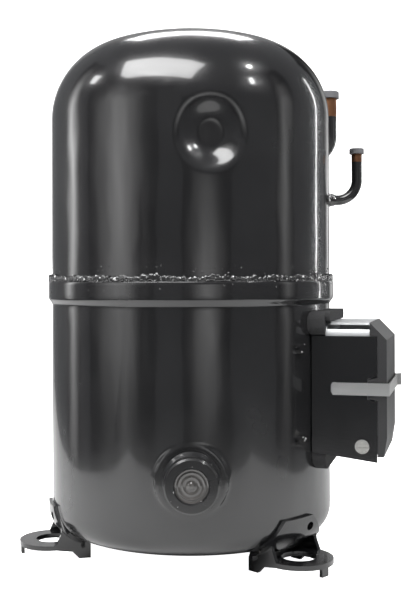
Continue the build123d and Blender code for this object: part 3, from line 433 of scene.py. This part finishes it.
# ---------------------------------------------------------------- earth symbol on the box side
def bars(name, rects, y0, y1, slot):
    # thin raised bars, each (x0, x1, z0, z1), between two depths
    verts, faces = [], []
    for x0, x1, z0, z1 in rects:
        b = len(verts)
        for y in (y0, y1):
            verts += [(x * MM, y * MM, z * MM) for x, z in ((x0, z0), (x1, z0), (x1, z1), (x0, z1))]
        faces += [(b, b + 1, b + 2, b + 3), (b + 7, b + 6, b + 5, b + 4), (b, b + 4, b + 5, b + 1),
                  (b + 1, b + 5, b + 6, b + 2), (b + 2, b + 6, b + 7, b + 3), (b + 3, b + 7, b + 4, b)]
    return mesh_piece(name, verts, faces, slot, smooth=False)


bars("earth_mark", [(145.1, 145.9, 104, 108), (142.0, 149.0, 103.2, 104), (143.3, 147.7, 101.6, 102.3),
                    (144.6, 146.4, 100.0, 100.7)], -46.25, -45.9, "box_paint")


# ---------------------------------------------------------------- sight glass lens with moulded rings
def radial_lathe(name, ang, z, profile, cols, slot, **kw):
    # profile is (radius, distance from the shell axis), both in mm
    c, s = math.cos(math.radians(ang)), math.sin(math.radians(ang))
    verts = []
    for rad, x in profile:
        for j in range(cols):
            ph = 2 * math.pi * j / cols
            y, zz = rad * math.cos(ph), rad * math.sin(ph)
            verts.append(((x * c - y * s) * MM, (x * s + y * c) * MM, (z + zz) * MM))
    n = len(profile)
    faces = grid_faces(n, cols)
    faces += [tuple(range(cols)), tuple(range((n - 1) * cols, n * cols))[::-1]]
    return mesh_piece(name, verts, faces, slot, **kw)


radial_lathe("sight_lens_moulded", SIGHT_ANGLE, SIGHT_Z,
             [(15.7, 143.6), (15.7, 147.8), (13.2, 147.8), (12.6, 147.2), (11.2, 147.0), (10.8, 147.5),
              (10.2, 147.5), (9.8, 146.9), (7.4, 146.8), (7.0, 147.4), (6.4, 147.4), (6.0, 146.8),
              (3.2, 146.9), (2.8, 147.5), (1.2, 147.9), (0.1, 148.0)],
             72, "lens_glass", replaces=("sight_lens",), sharp=60)

# ---------------------------------------------------------------- stage, lights, camera
FLOOR_GLOW = 1.2
FLOOR_FRONT, SWEEP_START, SWEEP_R, SWEEP_TOP = -0.5, 1.2, 0.6, 2.4
FLOOR_HALF, FLOOR_SPREAD = 0.5, 0.22
floor_mat = material("floor", (0.86, 0.86, 0.86), 0.6, bump=0.02, scale=80, mottle=0.01)
floor_tree = floor_mat.node_tree
floor_tree.nodes["Principled BSDF"].inputs["Emission Color"].default_value = (1, 1, 1, 1)
floor_tree.nodes["Principled BSDF"].inputs["Emission Strength"].default_value = FLOOR_GLOW
# the sweep is white to the eye, and a dull grey in the object's reflections
dull = floor_tree.nodes.new("ShaderNodeBsdfDiffuse")
dull.inputs["Color"].default_value = (0.55, 0.55, 0.55, 1)
floor_path = floor_tree.nodes.new("ShaderNodeLightPath")
floor_mix = floor_tree.nodes.new("ShaderNodeMixShader")
floor_tree.links.new(floor_path.outputs["Is Camera Ray"], floor_mix.inputs["Fac"])
floor_tree.links.new(dull.outputs["BSDF"], floor_mix.inputs[1])
floor_tree.links.new(floor_tree.nodes["Principled BSDF"].outputs["BSDF"], floor_mix.inputs[2])
floor_tree.links.new(floor_mix.outputs["Shader"], floor_tree.nodes["Material Output"].inputs["Surface"])
AZ = math.radians(CAMERA_AZIMUTH)
fwd = Vector((-math.sin(AZ), math.cos(AZ), 0))
right = Vector((math.cos(AZ), math.sin(AZ), 0))
FLOOR_Z = START_BOUNDS[0][2] - 0.0003
# the floor's outline from front to back, as (distance behind the object, height)
prof = [(FLOOR_FRONT, 0.0), (0.0, 0.0), (0.4, 0.0), (SWEEP_START, 0.0)]
for t in np.linspace(0.1, math.pi / 2, 12):
    prof.append((SWEEP_START + SWEEP_R * math.sin(t), SWEEP_R - SWEEP_R * math.cos(t)))
prof.append((SWEEP_START + SWEEP_R, SWEEP_TOP))
verts = []
for d, h in prof:
    half = FLOOR_HALF + max(0.0, d) * FLOOR_SPREAD
    for side in (-half, half):
        p = fwd * d + right * side
        verts.append((p.x, p.y, FLOOR_Z + h))
faces = [(2 * i, 2 * i + 1, 2 * i + 3, 2 * i + 2) for i in range(len(prof) - 1)]
me = bpy.data.meshes.new("floor")
me.from_pydata(verts, [], faces)
me.polygons.foreach_set("use_smooth", [True] * len(me.polygons))
me.materials.append(floor_mat)
floor = bpy.data.objects.new("floor", me)
bpy.context.scene.collection.objects.link(floor)

world = bpy.data.worlds.new("world")
bpy.context.scene.world = world
world.use_nodes = True
bg = world.node_tree.nodes["Background"]
bg.inputs["Color"].default_value = (0.9, 0.92, 0.95, 1)
bg.inputs["Strength"].default_value = 0.2
seen = world.node_tree.nodes.new("ShaderNodeBackground")
seen.inputs["Color"].default_value = (1, 1, 1, 1)
seen.inputs["Strength"].default_value = 1.0
path = world.node_tree.nodes.new("ShaderNodeLightPath")
pick = world.node_tree.nodes.new("ShaderNodeMixShader")
world_links = world.node_tree.links
world_links.new(path.outputs["Is Camera Ray"], pick.inputs["Fac"])
world_links.new(bg.outputs["Background"], pick.inputs[1])
world_links.new(seen.outputs["Background"], pick.inputs[2])
world_links.new(pick.outputs["Shader"], world.node_tree.nodes["World Output"].inputs["Surface"])


def area(name, az, dist, height, size_x, size_y, power, target=(0, 0, 0.25)):
    # az is measured from the camera's side, positive to the right in the picture
    a = math.radians(az) + AZ
    pos = Vector((math.sin(a) * dist, -math.cos(a) * dist, height))
    light = bpy.data.lights.new(name, "AREA")
    light.shape = "RECTANGLE"
    light.size = size_x
    light.size_y = size_y
    light.energy = power
    ob = bpy.data.objects.new(name, light)
    ob.location = pos
    ob.rotation_euler = (Vector(target) - pos).to_track_quat("-Z", "Y").to_euler()
    bpy.context.scene.collection.objects.link(ob)
    return ob


RAGGED_SCALE, RAGGED_DETAIL = 5.0, 3.0


def glow(name, az, dist, height, width, tall, strength, ragged=0.35, target=(0, 0, 0.25)):
    # a soft-edged bright patch of studio wall, seen only as a reflection in the gloss paint
    a = math.radians(az) + AZ
    pos = Vector((math.sin(a) * dist, -math.cos(a) * dist, height))
    me = bpy.data.meshes.new(name)
    w, h = width / 2, tall / 2
    me.from_pydata([(-w, -h, 0), (w, -h, 0), (w, h, 0), (-w, h, 0)], [], [(0, 1, 2, 3)])
    m = bpy.data.materials.new(name)
    m.use_nodes = True
    nt = m.node_tree
    nt.nodes.remove(nt.nodes["Principled BSDF"])
    tc = nt.nodes.new("ShaderNodeTexCoord")
    mp = nt.nodes.new("ShaderNodeMapping")
    mp.inputs["Scale"].default_value = (1 / w, 1 / h, 1)
    grad = nt.nodes.new("ShaderNodeTexGradient")
    grad.gradient_type = "QUADRATIC_SPHERE"
    rag = nt.nodes.new("ShaderNodeTexNoise")
    rag.inputs["Scale"].default_value = RAGGED_SCALE
    rag.inputs["Detail"].default_value = RAGGED_DETAIL
    mix = nt.nodes.new("ShaderNodeMixRGB")
    mix.blend_type = "ADD"
    mix.inputs["Fac"].default_value = ragged
    off = nt.nodes.new("ShaderNodeVectorMath")
    off.operation = "SUBTRACT"
    off.inputs[1].default_value = (0.5 * ragged, 0.5 * ragged, 0.5 * ragged)
    gain = nt.nodes.new("ShaderNodeMath")
    gain.operation = "MULTIPLY"
    gain.inputs[1].default_value = strength
    em = nt.nodes.new("ShaderNodeEmission")
    nt.links.new(tc.outputs["Object"], mp.inputs["Vector"])
    nt.links.new(tc.outputs["Object"], rag.inputs["Vector"])
    nt.links.new(mp.outputs["Vector"], mix.inputs["Color1"])
    nt.links.new(rag.outputs["Color"], mix.inputs["Color2"])
    nt.links.new(mix.outputs["Color"], off.inputs[0])
    nt.links.new(off.outputs["Vector"], grad.inputs["Vector"])
    nt.links.new(grad.outputs["Fac"], gain.inputs[0])
    nt.links.new(gain.outputs["Value"], em.inputs["Strength"])
    nt.links.new(em.outputs["Emission"], nt.nodes["Material Output"].inputs["Surface"])
    me.materials.append(m)
    ob = bpy.data.objects.new(name, me)
    ob.location = pos
    ob.rotation_euler = (Vector(target) - pos).to_track_quat("Z", "Y").to_euler()
    ob.visible_camera = False
    bpy.context.scene.collection.objects.link(ob)
    return ob


area("softbox_top", -30, 0.85, 1.4, 1.3, 0.62, 24, (0, 0, 0.35))
glow("skirt", -36, 1.5, 1.45, 1.5, 1.0, 6.0, 0.5, (0, 0, 0.35))
area("spot_left", -88, 1.0, 1.0, 0.12, 0.16, 0.7, (0, 0, 0.35))
glow("wall_left", -56, 1.3, 0.45, 1.5, 1.9, 2.6, 0.5)
glow("wall_left_core", -50, 1.35, 0.3, 0.7, 1.3, 2.2, 0.7)
glow("wall_left_edge", -106, 1.3, 0.5, 0.5, 2.0, 5.0, 0.3)
glow("wall_front", 12, 1.5, 0.2, 1.0, 1.0, 2.0, 0.6)
glow("wall_right", 78, 1.4, 0.5, 0.5, 2.0, 1.6, 0.5)
area("strip_right", 118, 1.3, 0.5, 0.025, 1.1, 1.6)
glow("right_edge", 148, 1.4, 0.4, 0.6, 1.8, 1.6, 0.1)
area("spark_right_high", 62, 1.0, 1.5, 0.1, 0.08, 2.6, (0, 0, 0.35))
area("spark_right_low", 52, 1.1, 1.02, 0.09, 0.16, 1.4, (0, 0, 0.35))
area("fill_back", 180, 1.0, 1.9, 1.1, 0.5, 13, (0, 0, 0.1))
WASH_OFFSET = 0.45
# washes that light the floor on each side, which the foot of the shell then reflects
for wash, side, power in (("floor_wash_left", -1, 13.0), ("floor_wash_right", 1, 9.0)):
    spot = right * WASH_OFFSET * side
    lamp = area(wash, 60 * side, 0.75, 0.8, 0.4, 0.4, power, (spot.x, spot.y, FLOOR_Z))
    lamp.visible_glossy = False

cam_data = bpy.data.cameras.new("camera")
cam_data.lens = FOCAL_LENGTH / PICTURE_HIGH * SENSOR
cam_data.sensor_width = SENSOR
cam_data.shift_x = SHIFT_RIGHT / PICTURE_HIGH
cam_data.shift_y = SHIFT_UP / PICTURE_HIGH
cam = bpy.data.objects.new("camera", cam_data)
pos = -fwd * CAMERA_DISTANCE + Vector((0, 0, CAMERA_HEIGHT))
level = Matrix.Rotation(AZ, 4, "Z") @ Matrix.Rotation(math.pi / 2, 4, "X")
rot = level @ Matrix.Rotation(math.radians(CAMERA_ROLL), 4, "Z")
cam.matrix_world = Matrix.Translation(pos) @ rot
bpy.context.scene.collection.objects.link(cam)
bpy.context.scene.camera = cam
bpy.context.scene.view_settings.view_transform = "Standard"
